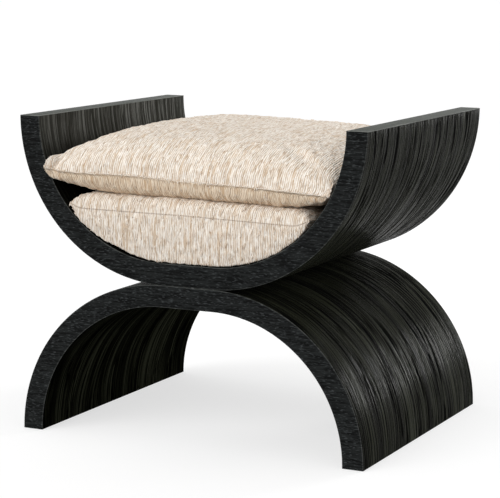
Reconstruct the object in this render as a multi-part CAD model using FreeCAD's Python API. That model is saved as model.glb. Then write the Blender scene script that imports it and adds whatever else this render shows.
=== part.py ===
import FreeCAD
import Part

import math
import os

# A footstool of two like U-shaped shells in black-stained oak veneer, screwed back to back on their flats.
# The upper shell is a cradle that holds two loose cushions, and the lower shell is the arched base.
# Sizes are in millimetres. X runs across the stool, Y from front to back and Z up.
# The origin is on the floor under the middle of the stool.

# Overall sizes
STOOL_HEIGHT = 530.0
STOOL_DEPTH = 510.0
FLAT_WIDTH = 91.0
SHELL_THICKNESS = 36.0

# Layers of a shell: veneered bending plywood over curved ribs
FACE_VENEER = 0.8
EDGE_VENEER = 1.5
BENDING_PLY = 6.0
GLUE_LINE = 0.2
RIB_THICKNESS = 18.0
END_RAIL_HEIGHT = 40.0

# Felt strips let into the feet
FELT_WIDTH = 12.0
FELT_THICKNESS = 3.0
FELT_PROUD = 1.0
FELT_END_MARGIN = 20.0

# Solid blocks that meet through the skins, and the screws that join them
BLOCK_SIDE_MARGIN = 5.5
BLOCK_END_MARGIN = 38.0
SCREW_EDGE_DISTANCE = 16.0
SCREW_POCKET_MARGIN = 4.5
SCREW_RADIUS = 3.5
SCREW_GRIP = 19.2
SCREW_HEAD_RADIUS = 7.5
SCREW_HEAD_HEIGHT = 3.5
SCREW_SOCKET_FLATS = 4.0
SCREW_SOCKET_DEPTH = 2.2
HEXAGON_SIDES = 6
SCREW_TIP_ROOM = 2.0
FIT_CLEARANCE = 0.1

# Cushions
SOFT_CLEARANCE = 0.3
COVER_CLOTH = 1.5
FILLING_CLEARANCE = 0.2
CUSHION_FRONT_SETBACK = 1.0
CUSHION_REAR_SETBACK = 6.5
LOWER_CUSHION_HEIGHT = 103.0
LOWER_CUSHION_SHOULDER_RUN = 56.0
LOWER_CUSHION_SHOULDER_RADIUS = 66.0
TOP_CUSHION_SIDE_GAP = 3.0
TOP_CUSHION_RISE = 76.0
TOP_CUSHION_DROP = 33.0
PILLOW_RINGS = 9
PILLOW_CROWN_ANGLE = 72.0

# Zips in the backs of the cushion covers
ZIP_SIDE_MARGIN = 22.0
ZIP_TAPE_WIDTH = 8.0
ZIP_TAPE_GAP = 0.4
ZIP_COIL_WIDTH = 4.0
ZIP_COIL_HEIGHT = 1.2
ZIP_END_MARGIN = 12.0
ZIP_BELOW_CUSHION_TOP = 50.0
SLIDER_LENGTH = 9.0
SLIDER_WIDTH = 8.0
SLIDER_TAIL_WIDTH = 6.6
SLIDER_THICKNESS = 3.0
BRIDGE_LENGTH = 6.0
BRIDGE_WIDTH = 1.6
BRIDGE_HEIGHT = 2.0
BRIDGE_WALL = 0.7
PULL_BAR_RADIUS = 0.5
PULL_ARM_THICKNESS = 0.8
PULL_ARM_WIDTH = 1.2
PULL_ARM_LENGTH = 5.0
PULL_ARM_CLEARANCE = 0.6
PULL_TAB_LENGTH = 16.0
PULL_TAB_WIDTH = 7.0
PULL_TAB_CLIP = 2.0

# Values worked out from those above
SHELL_HEIGHT = (STOOL_HEIGHT - FELT_PROUD) / 2
JOINT_PLANE = FELT_PROUD + SHELL_HEIGHT
FRONT = -STOOL_DEPTH / 2
REAR = STOOL_DEPTH / 2
CORE_FRONT = FRONT + EDGE_VENEER
CORE_REAR = REAR - EDGE_VENEER
SKIN_DEPTH = FACE_VENEER + GLUE_LINE
RIB_DEPTH = SKIN_DEPTH + BENDING_PLY + GLUE_LINE
SCREW_SEAT_DEPTH = SHELL_THICKNESS - RIB_DEPTH
FRONT_BAY_START = CORE_FRONT + RIB_THICKNESS
BAY_LENGTH = -RIB_THICKNESS / 2 - FRONT_BAY_START
BAY_MIDDLE = FRONT_BAY_START + BAY_LENGTH / 2
BLOCK_WIDTH = FLAT_WIDTH - 2 * BLOCK_SIDE_MARGIN
BLOCK_LENGTH = BAY_LENGTH - 2 * BLOCK_END_MARGIN
SCREW_OFFSET = BLOCK_WIDTH / 2 - SCREW_EDGE_DISTANCE
SCREW_POCKET_LENGTH = 2 * (SCREW_HEAD_RADIUS + SCREW_POCKET_MARGIN)
SCREW_POCKET_WIDTH = 2 * SCREW_OFFSET + SCREW_POCKET_LENGTH
CUSHION_FRONT = FRONT + CUSHION_FRONT_SETBACK
CUSHION_REAR = REAR - CUSHION_REAR_SETBACK
LOWER_CUSHION_TOP = JOINT_PLANE + SHELL_THICKNESS + SOFT_CLEARANCE + LOWER_CUSHION_HEIGHT
TOP_CUSHION_SEAM = LOWER_CUSHION_TOP + SOFT_CLEARANCE + TOP_CUSHION_DROP

Vector = FreeCAD.Vector
ACROSS = Vector(1, 0, 0)
BACKWARD = Vector(0, 1, 0)
UP = Vector(0, 0, 1)


def save(name, shape):
    """Writes one piece, or one group of like pieces, under its own name."""
    shape.exportStep(os.path.join("parts", name + ".step"))


def block(x_low, x_high, y_low, y_high, z_low, z_high):
    """A box between two corners."""
    corner = Vector(x_low, y_low, z_low)
    return Part.makeBox(x_high - x_low, y_high - y_low, z_high - z_low, corner)


def group(shapes):
    """Several separate solids kept together."""
    return Part.makeCompound(list(shapes))


def u_curve(radius):
    """The edges of a flat-topped arch, from its left foot over the flat to its right foot."""
    bend = FLAT_WIDTH / 2
    slant = radius * math.sqrt(0.5)
    left_foot = Vector(-bend - radius, 0, 0)
    left_top = Vector(-bend, 0, radius)
    right_top = Vector(bend, 0, radius)
    right_foot = Vector(bend + radius, 0, 0)
    return [
        Part.Arc(left_foot, Vector(-bend - slant, 0, slant), left_top).toShape(),
        Part.LineSegment(left_top, right_top).toShape(),
        Part.Arc(right_top, Vector(bend + slant, 0, slant), right_foot).toShape(),
    ]


def extruded(edges, y_low, y_high):
    """The solid between two depths whose outline is the closed loop of edges."""
    face = Part.Face(Part.Wire(Part.__sortEdges__(edges)))
    face.translate(BACKWARD * y_low)
    return face.extrude(BACKWARD * (y_high - y_low))


def arch_band(outer_depth, inner_depth, y_low, y_high):
    """A layer of the arch between two depths under its outer face, with its feet at height zero."""
    outer_radius = SHELL_HEIGHT - outer_depth
    inner_radius = SHELL_HEIGHT - inner_depth
    bend = FLAT_WIDTH / 2
    edges = u_curve(outer_radius) + u_curve(inner_radius)
    for side in (-1, 1):
        outer_foot = Vector(side * (bend + outer_radius), 0, 0)
        inner_foot = Vector(side * (bend + inner_radius), 0, 0)
        edges.append(Part.LineSegment(outer_foot, inner_foot).toShape())
    return extruded(edges, y_low, y_high)


def arch_hollow(depth, y_low, y_high):
    """Everything inside the arch below one depth under its outer face."""
    radius = SHELL_HEIGHT - depth
    foot = FLAT_WIDTH / 2 + radius
    sill = Part.LineSegment(Vector(-foot, 0, 0), Vector(foot, 0, 0)).toShape()
    return extruded(u_curve(radius) + [sill], y_low, y_high)


def between_heights(shape, z_low, z_high):
    """The part of a standing arch between two heights."""
    reach = FLAT_WIDTH + 2 * SHELL_HEIGHT
    return shape.common(block(-reach, reach, FRONT, REAR, z_low, z_high))


def as_base(shape):
    """Stands an arch on its felt strips."""
    placed = shape.copy()
    placed.translate(UP * FELT_PROUD)
    return placed


def as_cradle(shape):
    """Turns an arch over so that it opens upward on top of the base."""
    placed = shape.copy()
    placed.rotate(Vector(0, 0, 0), BACKWARD, 180)
    placed.translate(UP * STOOL_HEIGHT)
    return placed


def in_each_bay(width, length, from_depth, to_depth):
    """A block, or the tool for an opening, in each space between ribs at two depths under the flat."""
    z_low = SHELL_HEIGHT - to_depth
    z_high = SHELL_HEIGHT - from_depth
    places = [(y - length / 2, y + length / 2) for y in (BAY_MIDDLE, -BAY_MIDDLE)]
    return [block(-width / 2, width / 2, y_low, y_high, z_low, z_high) for y_low, y_high in places]


def screw_places():
    """A pair of screws in each space between ribs."""
    return [(x, y) for y in (BAY_MIDDLE, -BAY_MIDDLE) for x in (-SCREW_OFFSET, SCREW_OFFSET)]


def screw_holes(depth):
    """Holes for the screws, bored from a shell's outer face to one depth."""
    bore = SCREW_RADIUS + FIT_CLEARANCE
    low = SHELL_HEIGHT - depth
    return group(Part.makeCylinder(bore, depth, Vector(x, y, low)) for x, y in screw_places())


def felt_strips(clearance):
    """A felt strip along the middle of each foot, or with a clearance the groove that takes it."""
    leg = FLAT_WIDTH / 2 + SHELL_HEIGHT - SHELL_THICKNESS / 2
    half_width = FELT_WIDTH / 2 + clearance
    y_low = FRONT + FELT_END_MARGIN - clearance
    y_high = REAR - FELT_END_MARGIN + clearance
    return group(block(side * leg - half_width, side * leg + half_width, y_low, y_high, 0, FELT_THICKNESS)
                 for side in (-1, 1))


def shell(name, place, foot_height, pockets, holes):
    """All the layers of one shell. They start at foot_height, above what closes the shell's ends."""
    rib_inner = SHELL_THICKNESS - RIB_DEPTH
    skin_inner = SHELL_THICKNESS - SKIN_DEPTH
    windows = in_each_bay(BLOCK_WIDTH + 2 * FIT_CLEARANCE, BLOCK_LENGTH + 2 * FIT_CLEARANCE, 0, RIB_DEPTH)
    layers = {
        "outer_veneer": (0, FACE_VENEER, windows),
        "outer_skin": (SKIN_DEPTH, SKIN_DEPTH + BENDING_PLY, windows),
        "inner_skin": (skin_inner - BENDING_PLY, skin_inner, pockets),
        "inner_veneer": (SHELL_THICKNESS - FACE_VENEER, SHELL_THICKNESS, pockets),
    }
    for layer, (outer_depth, inner_depth, openings) in layers.items():
        sheet = arch_band(outer_depth, inner_depth, CORE_FRONT, CORE_REAR)
        sheet = between_heights(sheet, foot_height, SHELL_HEIGHT)
        for opening in openings:
            sheet = sheet.cut(opening)
        save(name + "_" + layer, place(sheet))

    edges = {"front": (FRONT, CORE_FRONT), "rear": (CORE_REAR, REAR)}
    for edge, (y_low, y_high) in edges.items():
        strip = arch_band(0, SHELL_THICKNESS, y_low, y_high)
        save(name + "_" + edge + "_edge_veneer", place(between_heights(strip, foot_height, SHELL_HEIGHT)))

    ribs = {"front": CORE_FRONT, "middle": -RIB_THICKNESS / 2, "rear": CORE_REAR - RIB_THICKNESS}
    for rib, y_low in ribs.items():
        band = arch_band(RIB_DEPTH, rib_inner, y_low, y_low + RIB_THICKNESS)
        band = between_heights(band, foot_height + END_RAIL_HEIGHT, SHELL_HEIGHT)
        save(name + "_" + rib + "_rib", place(band))

    blocks = in_each_bay(BLOCK_WIDTH, BLOCK_LENGTH, 0, rib_inner)
    save(name + "_joint_blocks", place(group(solid.cut(holes) for solid in blocks)))


def end_rails(foot_height):
    """The solid rails that close a shell's two free ends between its skins."""
    rails = arch_band(RIB_DEPTH, SHELL_THICKNESS - RIB_DEPTH, CORE_FRONT, CORE_REAR)
    return between_heights(rails, foot_height, foot_height + END_RAIL_HEIGHT)


def joint_screw(x, y):
    """A long pan-headed screw with a hexagon socket, its head in the cradle and its tip in the base."""
    seat = JOINT_PLANE + SCREW_SEAT_DEPTH
    length = SCREW_SEAT_DEPTH + SCREW_GRIP
    shank = Part.makeCylinder(SCREW_RADIUS, length, Vector(x, y, seat - length))
    head = Part.makeCylinder(SCREW_HEAD_RADIUS, SCREW_HEAD_HEIGHT, Vector(x, y, seat))
    socket_radius = SCREW_SOCKET_FLATS / math.sqrt(3)
    socket_floor = seat + SCREW_HEAD_HEIGHT - SCREW_SOCKET_DEPTH
    corners = []
    for turn in range(HEXAGON_SIDES + 1):
        angle = 2 * math.pi * turn / HEXAGON_SIDES
        corner = Vector(socket_radius * math.cos(angle), socket_radius * math.sin(angle), 0)
        corners.append(corner + Vector(x, y, socket_floor))
    socket = Part.Face(Part.makePolygon(corners)).extrude(UP * SCREW_SOCKET_DEPTH)
    return shank.fuse(head).removeSplitter().cut(socket)


def wall_half_width(height):
    """Half the width between the cradle's inner faces at one height."""
    radius = SHELL_HEIGHT - SHELL_THICKNESS
    return FLAT_WIDTH / 2 + math.sqrt(radius ** 2 - (STOOL_HEIGHT - height) ** 2)


def cushion_bed(inset, y_low, y_high):
    """The cradle's hollow, drawn in from its walls by the cushion's clearance and an inset."""
    return as_cradle(arch_hollow(SHELL_THICKNESS + SOFT_CLEARANCE + inset, y_low, y_high))


def half_moon(inset, y_low, y_high):
    """The lower cushion: round below to lie in the cradle, flat on top with rounded shoulders."""
    flat = wall_half_width(LOWER_CUSHION_TOP) - LOWER_CUSHION_SHOULDER_RUN
    half_width = flat + LOWER_CUSHION_SHOULDER_RADIUS - inset
    top = LOWER_CUSHION_TOP - inset
    slab = block(-half_width, half_width, y_low, y_high, JOINT_PLANE, top)
    shoulders = []
    for edge in slab.Edges:
        on_top = all(abs(vertex.Z - top) < SOFT_CLEARANCE for vertex in edge.Vertexes)
        along_depth = edge.Vertexes[0].X == edge.Vertexes[1].X
        if on_top and along_depth:
            shoulders.append(edge)
    slab = slab.makeFillet(LOWER_CUSHION_SHOULDER_RADIUS - inset, shoulders)
    return slab.common(cushion_bed(inset, y_low, y_high))


def pillow_half(inset, height):
    """One half of the top cushion: square rings that draw in like an ellipse from the seam to the crown."""
    half_width = wall_half_width(TOP_CUSHION_SEAM) - TOP_CUSHION_SIDE_GAP - inset
    half_depth = (CUSHION_REAR - CUSHION_FRONT) / 2 - inset
    middle = Vector(0, (CUSHION_REAR + CUSHION_FRONT) / 2, TOP_CUSHION_SEAM)
    crown = height - math.copysign(inset, height)
    last_angle = math.radians(PILLOW_CROWN_ANGLE)
    rings = []
    for step in range(PILLOW_RINGS):
        angle = last_angle * step / (PILLOW_RINGS - 1)
        level = middle + UP * (crown * math.sin(angle) / math.sin(last_angle))
        side = ACROSS * (half_width * math.cos(angle))
        back = BACKWARD * (half_depth * math.cos(angle))
        rings.append([level - side - back, level + side - back, level + side + back, level - side + back])
    outlines = [rings[0], rings[-1]]
    for lower, upper in zip(rings, rings[1:]):
        for corner in range(len(lower)):
            outlines.append([lower[corner - 1], lower[corner], upper[corner], upper[corner - 1]])
    faces = [Part.Face(Part.makePolygon(outline + outline[:1])) for outline in outlines]
    return Part.makeSolid(Part.makeShell(faces))


def zip_reach():
    """How far the tapes of a zip reach above and below its middle line."""
    return ZIP_TAPE_WIDTH + ZIP_TAPE_GAP / 2


def zip_half_length(z):
    """Half the length of a zip, which stops short of the cradle's walls at the tapes' lower edge."""
    return wall_half_width(z - zip_reach()) - ZIP_SIDE_MARGIN


def zip_slot(z):
    """The opening in the back of a cover that the two zip tapes fill."""
    half_length = zip_half_length(z)
    return block(-half_length, half_length, CUSHION_REAR - COVER_CLOTH, CUSHION_REAR,
                 z - zip_reach(), z + zip_reach())


def zip_slider(x, z):
    """The slider: a tapered body that straddles the coil, with a bridge for the pull."""
    low = CUSHION_REAR + SOFT_CLEARANCE
    top = low + SLIDER_THICKNESS
    nose = x + SLIDER_LENGTH / 2
    tail = x - SLIDER_LENGTH / 2
    outline = [
        Vector(nose, low, z - SLIDER_WIDTH / 2),
        Vector(nose, low, z + SLIDER_WIDTH / 2),
        Vector(tail, low, z + SLIDER_TAIL_WIDTH / 2),
        Vector(tail, low, z - SLIDER_TAIL_WIDTH / 2),
    ]
    body = Part.Face(Part.makePolygon(outline + outline[:1])).extrude(BACKWARD * SLIDER_THICKNESS)
    half_channel = ZIP_COIL_WIDTH / 2 + SOFT_CLEARANCE
    channel_top = CUSHION_REAR + ZIP_COIL_HEIGHT + SOFT_CLEARANCE
    channel = block(tail, nose, low, channel_top, z - half_channel, z + half_channel)
    bridge = block(x - BRIDGE_LENGTH / 2, x + BRIDGE_LENGTH / 2, top, top + BRIDGE_HEIGHT,
                   z - BRIDGE_WIDTH / 2, z + BRIDGE_WIDTH / 2)
    half_eye = BRIDGE_LENGTH / 2 - BRIDGE_WALL
    eye = block(x - half_eye, x + half_eye, top, top + BRIDGE_HEIGHT - BRIDGE_WALL,
                z - BRIDGE_WIDTH / 2, z + BRIDGE_WIDTH / 2)
    return body.cut(channel).fuse(bridge.cut(eye)).removeSplitter()


def pull_pivot_depth():
    """How far back the bar that a zip pull swings on lies: in the middle of the bridge's eye."""
    return CUSHION_REAR + SOFT_CLEARANCE + SLIDER_THICKNESS + (BRIDGE_HEIGHT - BRIDGE_WALL) / 2


def zip_pull(x, z):
    """The pull: a bar through the bridge, two arms beside it and a flat tab with clipped corners."""
    y = pull_pivot_depth()
    arm_inner = BRIDGE_WIDTH / 2 + PULL_ARM_CLEARANCE
    arm_outer = arm_inner + PULL_ARM_WIDTH
    y_low = y - PULL_ARM_THICKNESS / 2
    y_high = y + PULL_ARM_THICKNESS / 2
    tab_start = x - PULL_ARM_LENGTH
    tab_end = tab_start - PULL_TAB_LENGTH
    half_width = PULL_TAB_WIDTH / 2
    outline = [
        Vector(tab_start, y_low, z - half_width),
        Vector(tab_start, y_low, z + half_width),
        Vector(tab_end + PULL_TAB_CLIP, y_low, z + half_width),
        Vector(tab_end, y_low, z + half_width - PULL_TAB_CLIP),
        Vector(tab_end, y_low, z - half_width + PULL_TAB_CLIP),
        Vector(tab_end + PULL_TAB_CLIP, y_low, z - half_width),
    ]
    tab = Part.Face(Part.makePolygon(outline + outline[:1])).extrude(BACKWARD * PULL_ARM_THICKNESS)
    pull = Part.makeCylinder(PULL_BAR_RADIUS, 2 * arm_outer, Vector(x, y, z - arm_outer), UP).fuse(tab)
    for side in (-1, 1):
        z_low, z_high = sorted((z + side * arm_inner, z + side * arm_outer))
        pull = pull.fuse(block(tab_start, x, y_low, y_high, z_low, z_high))
    return pull.removeSplitter()


def zip_set(name, z):
    """One closed zip along the back of a cushion, its slider at the +X end."""
    half_length = zip_half_length(z)
    half_gap = ZIP_TAPE_GAP / 2
    y_low = CUSHION_REAR - COVER_CLOTH
    tapes = [
        block(-half_length, half_length, y_low, CUSHION_REAR, z + half_gap, z + zip_reach()),
        block(-half_length, half_length, y_low, CUSHION_REAR, z - zip_reach(), z - half_gap),
    ]
    coil = block(-half_length, half_length, CUSHION_REAR, CUSHION_REAR + ZIP_COIL_HEIGHT,
                 z - ZIP_COIL_WIDTH / 2, z + ZIP_COIL_WIDTH / 2)
    closed_end = half_length - ZIP_END_MARGIN
    save(name + "_tapes", group(tapes))
    save(name + "_coil", coil)
    save(name + "_slider", zip_slider(closed_end, z))
    save(name + "_pull", zip_pull(closed_end, z))


os.makedirs("parts", exist_ok=True)

# The two shells. The cradle's floor has pockets over the screws, and a veneer strip caps each arm
screw_pockets = in_each_bay(SCREW_POCKET_WIDTH, SCREW_POCKET_LENGTH, SCREW_SEAT_DEPTH, SHELL_THICKNESS)
arm_caps = between_heights(arch_band(0, SHELL_THICKNESS, FRONT, REAR), 0, FACE_VENEER)
shell("base", as_base, 0, [], screw_holes(SCREW_GRIP + SCREW_TIP_ROOM))
shell("cradle", as_cradle, FACE_VENEER, screw_pockets, screw_holes(SHELL_THICKNESS))
save("foot_rails", as_base(end_rails(0)).cut(felt_strips(FIT_CLEARANCE)))
save("arm_rails", as_cradle(end_rails(FACE_VENEER)))
save("arm_top_veneers", as_cradle(arm_caps))

# The screws between them, and the felt underneath
save("joint_screws", group(joint_screw(x, y) for x, y in screw_places()))
save("foot_felts", felt_strips(0))

# The lower cushion: a foam pad in a sewn cover of four panels
panel_front = CUSHION_FRONT + COVER_CLOTH
panel_rear = CUSHION_REAR - COVER_CLOTH
lower_zip_height = LOWER_CUSHION_TOP - ZIP_BELOW_CUSHION_TOP
cushion_body = half_moon(0, panel_front, panel_rear)
cushion_inside = half_moon(COVER_CLOTH, panel_front, panel_rear)
inside_the_underside = cushion_bed(COVER_CLOTH, panel_front, panel_rear)
save("lower_cushion_foam", half_moon(COVER_CLOTH + FILLING_CLEARANCE, panel_front, panel_rear))
save("lower_cushion_underside_panel", cushion_body.cut(inside_the_underside))
save("lower_cushion_top_panel", cushion_body.common(inside_the_underside).cut(cushion_inside))
save("lower_cushion_front_panel", half_moon(0, CUSHION_FRONT, panel_front))
save("lower_cushion_rear_panel", half_moon(0, panel_rear, CUSHION_REAR).cut(zip_slot(lower_zip_height)))
zip_set("lower_zip", lower_zip_height)

# The top cushion: a loose pillow in a cover of two halves
filling_inset = COVER_CLOTH + FILLING_CLEARANCE
filling = pillow_half(filling_inset, TOP_CUSHION_RISE).fuse(pillow_half(filling_inset, -TOP_CUSHION_DROP))
covers = {"top_cushion_upper_cover": TOP_CUSHION_RISE, "top_cushion_lower_cover": -TOP_CUSHION_DROP}
for cover, height in covers.items():
    cloth = pillow_half(0, height).cut(pillow_half(COVER_CLOTH, height))
    save(cover, cloth.cut(zip_slot(TOP_CUSHION_SEAM)))
save("top_cushion_filling", filling.removeSplitter())
zip_set("top_zip", TOP_CUSHION_SEAM)
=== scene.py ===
import math

import bmesh
import bpy
import numpy as np
from mathutils import Matrix, Vector


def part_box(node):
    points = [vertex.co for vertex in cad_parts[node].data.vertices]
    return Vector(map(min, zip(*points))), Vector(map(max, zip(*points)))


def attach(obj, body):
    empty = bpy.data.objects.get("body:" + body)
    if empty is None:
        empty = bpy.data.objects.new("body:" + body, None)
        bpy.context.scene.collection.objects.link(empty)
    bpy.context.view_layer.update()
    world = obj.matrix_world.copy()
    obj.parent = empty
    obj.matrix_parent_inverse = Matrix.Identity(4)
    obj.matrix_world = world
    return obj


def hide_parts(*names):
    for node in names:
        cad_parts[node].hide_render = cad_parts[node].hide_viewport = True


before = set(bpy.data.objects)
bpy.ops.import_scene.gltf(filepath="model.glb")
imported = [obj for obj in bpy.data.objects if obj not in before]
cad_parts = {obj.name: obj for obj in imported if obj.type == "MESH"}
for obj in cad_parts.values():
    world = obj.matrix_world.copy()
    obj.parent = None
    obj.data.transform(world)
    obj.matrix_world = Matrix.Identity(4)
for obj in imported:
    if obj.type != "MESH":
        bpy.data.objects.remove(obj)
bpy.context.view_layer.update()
scene = bpy.context.scene


# The studio: a wide white floor in a white surround, lit softly from above, the left front and behind.
# The camera stands in front and to the right, a little above the arms, with a long lens.
# None of this belongs to the stool.
SURROUND_LIGHT = 0.42
FLOOR_REACH = 60.0
FLOOR_WHITENESS = 0.40
FLOOR_GLOW = 0.64


def by_sight(tree, seen, unseen):
    """One strength where a surface is seen, also mirrored or through glass, another for its light."""
    path = tree.nodes.new("ShaderNodeLightPath")
    looked_at = path.outputs["Is Camera Ray"]
    for ray in ("Is Glossy Ray", "Is Transmission Ray"):
        either = tree.nodes.new("ShaderNodeMath")
        either.operation = "MAXIMUM"
        tree.links.new(looked_at, either.inputs[0])
        tree.links.new(path.outputs[ray], either.inputs[1])
        looked_at = either.outputs[0]
    strength = tree.nodes.new("ShaderNodeMapRange")
    strength.inputs["To Min"].default_value = unseen
    strength.inputs["To Max"].default_value = seen
    tree.links.new(looked_at, strength.inputs["Value"])
    return strength.outputs[0]


scene.world = bpy.data.worlds.new("white_surround")
scene.world.use_nodes = True
surround = scene.world.node_tree
background = surround.nodes["Background"]
background.inputs["Color"].default_value = (1, 1, 1, 1)
surround.links.new(by_sight(surround, seen=1.0, unseen=SURROUND_LIGHT), background.inputs["Strength"])


def new_piece(name, points, faces):
    """A smooth piece made of corners and faces, set in the scene."""
    mesh = bpy.data.meshes.new(name)
    mesh.from_pydata(points, [], faces)
    mesh.polygons.foreach_set("use_smooth", [True] * len(faces))
    piece = bpy.data.objects.new(name, mesh)
    scene.collection.objects.link(piece)
    return piece


floor_corners = ((-1, -1, 0), (1, -1, 0), (1, 1, 0), (-1, 1, 0))
floor = new_piece("floor", [Vector(corner) * FLOOR_REACH for corner in floor_corners], [(0, 1, 2, 3)])
floor_paint = bpy.data.materials.new("studio_white")
floor_paint.use_nodes = True
floor_tree = floor_paint.node_tree
floor_shader = floor_tree.nodes["Principled BSDF"]
for socket, value in (
        ("Base Color", (FLOOR_WHITENESS,) * 3 + (1.0,)), ("Roughness", 1.0),
        ("Specular IOR Level", 0.0), ("Emission Color", (1, 1, 1, 1))):
    floor_shader.inputs[socket].default_value = value
floor_glow = by_sight(floor_tree, seen=FLOOR_GLOW, unseen=0.0)
floor_tree.links.new(floor_glow, floor_shader.inputs["Emission Strength"])
floor.data.materials.append(floor_paint)


def soft_lamp(name, kind, position, target, power):
    """A lamp that stands at one place and points at another."""
    lamp = bpy.data.lights.new(name, kind)
    lamp.energy = power
    holder = bpy.data.objects.new(name, lamp)
    holder.location = position
    holder.rotation_euler = (Vector(target) - Vector(position)).to_track_quat("-Z", "Y").to_euler()
    scene.collection.objects.link(holder)
    return lamp


for name, position, power, spread in (
        ("overhead_light", (-0.10, 0.05, 0.99), 0.78, 70), ("front_light", (-0.32, -0.84, 0.44), 1.98, 50)):
    soft_lamp(name, "SUN", position, (0, 0, 0), power).angle = math.radians(spread)
rear_light = soft_lamp("rear_light", "AREA", position=(1.45, 2.65, 0.66), target=(0.25, 0, 0.2), power=52)
rear_light.size = 0.8

CAMERA_PLACE = Vector((1.4319, -2.9763, 0.8053))
CAMERA_YAW = math.radians(25.862)
CAMERA_PITCH = math.radians(-8.813)
CAMERA_ROLL = math.radians(0.297)
FOCAL_LENGTH_PIXELS = 1948.3
PICTURE_WIDTH_PIXELS = 500
SENSOR_WIDTH = 36.0
camera_data = bpy.data.cameras.new("camera")
camera_data.sensor_width = SENSOR_WIDTH
camera_data.lens = SENSOR_WIDTH * FOCAL_LENGTH_PIXELS / PICTURE_WIDTH_PIXELS
camera = bpy.data.objects.new("camera", camera_data)
camera_turn = Matrix.Rotation(CAMERA_YAW, 4, "Z") @ Matrix.Rotation(math.pi / 2 + CAMERA_PITCH, 4, "X")
camera.matrix_world = Matrix.Translation(CAMERA_PLACE) @ camera_turn @ Matrix.Rotation(CAMERA_ROLL, 4, "Z")
scene.collection.objects.link(camera)
scene.camera = camera
scene.view_settings.view_transform = "Standard"


# The two bent face veneers of the base: sliced oak stained black and glued over the bent plywood skins.
# The grain runs round the bend from foot to foot, with fine dark pores and broad soft streaks.
# Both face veneers stop at the edge veneers, which lap over their front and rear ends.
outer_low, outer_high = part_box("base_outer_veneer")
_, inner_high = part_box("base_inner_veneer")
edge_low, edge_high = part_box("base_front_edge_veneer")
cap_low, cap_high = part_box("arm_top_veneers")
FOOT_HEIGHT = outer_low.z
BEND_RADIUS = outer_high.z - outer_low.z
BEND_CENTRE = outer_high.x - BEND_RADIUS
FACE_VENEER = cap_high.z - cap_low.z
SHELL_THICKNESS = outer_high.z - inner_high.z + FACE_VENEER
STOOL_HEIGHT = cap_high.z
FRONT = edge_low.y
FACE_FRONT = edge_high.y
JOINT_BEVEL = 0.00018
BEND_STEPS = 64
FLAT_STEPS = 8
FLAT_MARGIN = 0.0095
SHARP_CORNER = math.radians(40)
GRAIN_SWAY = 0.050
GRAIN_DEPTH = 0.00025
LINE_DEPTH_SHARE = 0.5
LINE_ROUGHNESS_SHARE = 0.7
# Where the painted shade on a sheet fades out, measured along its grain from the sheet's middle.
SHADE_FADES_FROM = 0.325
SHADE_GONE_AT = 0.405


def arch_stations(end_angle):
    """Steps over the arch from end to end: what each is centred on, and the angle it is turned to."""
    quarter = math.pi / 2
    bend = np.linspace(0, quarter - end_angle, BEND_STEPS + 1)
    flat = np.linspace(FLAT_MARGIN - BEND_CENTRE, BEND_CENTRE - FLAT_MARGIN, FLAT_STEPS + 1)
    left = [(-BEND_CENTRE, quarter + turn) for turn in bend[::-1]]
    right = [(BEND_CENTRE, quarter - turn) for turn in bend]
    return left + [(x, quarter) for x in flat] + right


def veneer_piece(name, points, faces, grain):
    """A piece of veneer whose mesh carries the direction of its grain."""
    piece = new_piece(name, points, faces)
    mesh = piece.data
    mesh.attributes.new("grain", "FLOAT_VECTOR", "POINT").data.foreach_set("vector", np.ravel(grain))
    outward = bmesh.new()
    outward.from_mesh(mesh)
    bmesh.ops.recalc_face_normals(outward, faces=outward.faces)
    outward.to_mesh(mesh)
    outward.free()
    mesh.set_sharp_from_angle(angle=SHARP_CORNER)
    return piece


def bent_strip(name, section, cradle, grain_start, pockets=()):
    """Sweeps a section, given as depths under the outer face and places from front to back, round the arch.

    Pockets are ranges from front to back that stay open in the flat.
    """
    end_height = FACE_VENEER if cradle else 0.0
    stations = arch_stations(math.asin(end_height / BEND_RADIUS))
    points = []
    grain = []
    for centre, angle in stations:
        for depth, y in section:
            radius = BEND_RADIUS - depth
            height = max(radius * math.sin(angle), end_height)
            z = STOOL_HEIGHT - height if cradle else FOOT_HEIGHT + height
            points.append((centre + radius * math.cos(angle), y, z))
            run = centre + (BEND_RADIUS - SHELL_THICKNESS / 2) * (math.pi / 2 - angle)
            grain.append((grain_start + run, grain_start + y, depth))
    width = len(section)
    faces = [tuple(range(width)), tuple(reversed(range(len(points) - width, len(points))))]
    flat_edge = BEND_CENTRE - FLAT_MARGIN / 2
    flat = [step for step, (centre, _) in enumerate(stations) if abs(centre) < flat_edge]
    for step in range(len(stations) - 1):
        for side in range(width):
            corner = step * width + side
            beside = step * width + (side + 1) % width
            ends = sorted((section[side][1], section[(side + 1) % width][1]))
            if not (step in flat[:-1] and tuple(ends) in pockets):
                faces.append((corner, corner + width, beside + width, beside))
    for ends in pockets:
        rim = [side for side in range(width) if section[side][1] in ends]
        rim.sort(key=lambda side: (section[side][1], section[side][0]))
        for step in flat[:-1]:
            for upper, lower in (rim[:2], rim[2:]):
                corners = (step * width + upper, step * width + lower)
                faces.append((corners[0], corners[1], corners[1] + width, corners[0] + width))
        for step in (flat[0], flat[-1]):
            faces.append(tuple(step * width + side for side in (rim[0], rim[1], rim[3], rim[2])))
    return veneer_piece(name, points, faces, grain)


def face_section(seen_depth, far_depth):
    """A thin sheet with its two long ends broken on the side that is seen."""
    inward = JOINT_BEVEL if far_depth > seen_depth else -JOINT_BEVEL
    section = [
        (far_depth, FACE_FRONT),
        (seen_depth + inward, FACE_FRONT),
        (seen_depth, FACE_FRONT + JOINT_BEVEL),
        (seen_depth, -FACE_FRONT - JOINT_BEVEL),
        (seen_depth + inward, -FACE_FRONT),
        (far_depth, -FACE_FRONT),
    ]
    return section if far_depth > seen_depth else section[::-1]


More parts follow.
